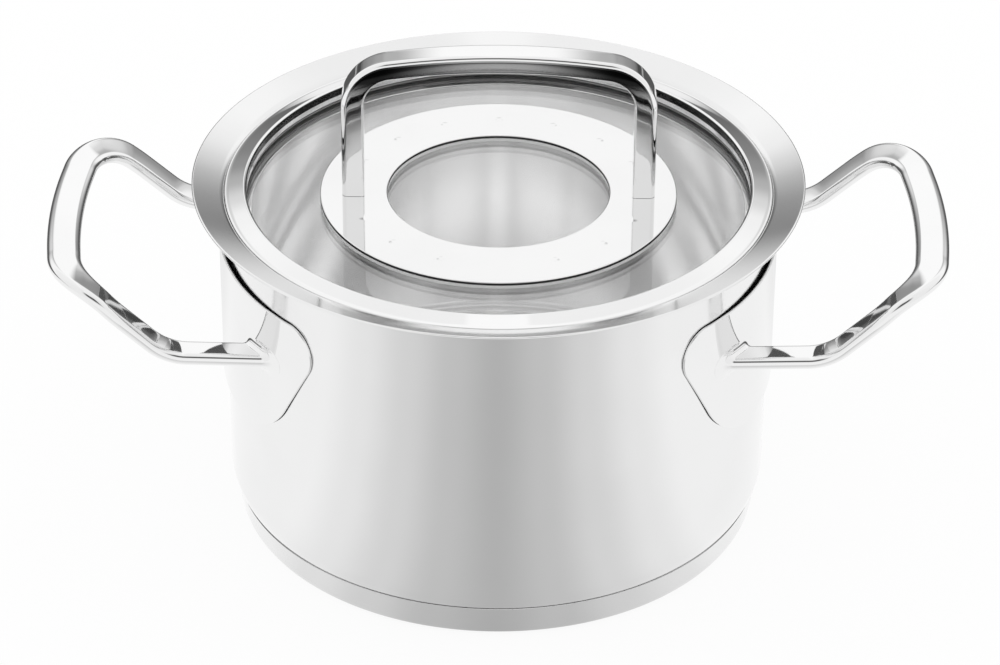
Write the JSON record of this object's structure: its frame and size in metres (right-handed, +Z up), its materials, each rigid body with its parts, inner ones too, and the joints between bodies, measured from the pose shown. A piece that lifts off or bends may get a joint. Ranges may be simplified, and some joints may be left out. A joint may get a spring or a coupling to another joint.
{
  "type": "stew pot",
  "caption": "Round steel stew pot with a flared pouring rim, bent bar side handles, an encapsulated base and a lift-off glass lid with a steel bow handle.",
  "frame": {"origin": "centre of the underside of the base, on the axis of the vessel", "axes": "+Z up along the axis of the vessel, +X towards the right side handle, -Y towards the viewer of the picture"},
  "size_m": [0.3278, 0.222, 0.1875],
  "materials": {
    "polished_steel": "polished stainless steel with a faint brushing",
    "handle_steel": "mirror polished stainless steel",
    "plate_steel": "polished stainless steel sheet",
    "base_steel": "turned and brushed stainless steel",
    "fixing_steel": "plain stainless steel",
    "core_aluminium": "raw",
    "glass": "clear toughened glass",
    "silicone": "translucent grey silicone"
  },
  "bodies": {
    "pot": {"vessel": "polished_steel", "base_core": "core_aluminium", "base_cap": "base_steel", "right_handle_pad": "handle_steel", "left_handle_pad": "handle_steel", "right_handle": "handle_steel", "left_handle": "handle_steel"},
    "lid": {"lid_rim": "polished_steel", "glass_seal": "silicone", "lid_glass": "glass", "plate_gasket": "silicone", "handle_plate": "plate_steel", "lid_bow": "handle_steel", "left_glass_bush": "silicone", "left_screw_washer": "fixing_steel", "left_handle_screw": "fixing_steel", "right_glass_bush": "silicone", "right_screw_washer": "fixing_steel", "right_handle_screw": "fixing_steel"}
  },
  "joints": [
    {"name": "lid_lift", "type": "slide", "parent": "pot", "child": "lid", "axis": [0, 0, 1], "range_m": [0, 0.15]}
  ]
}
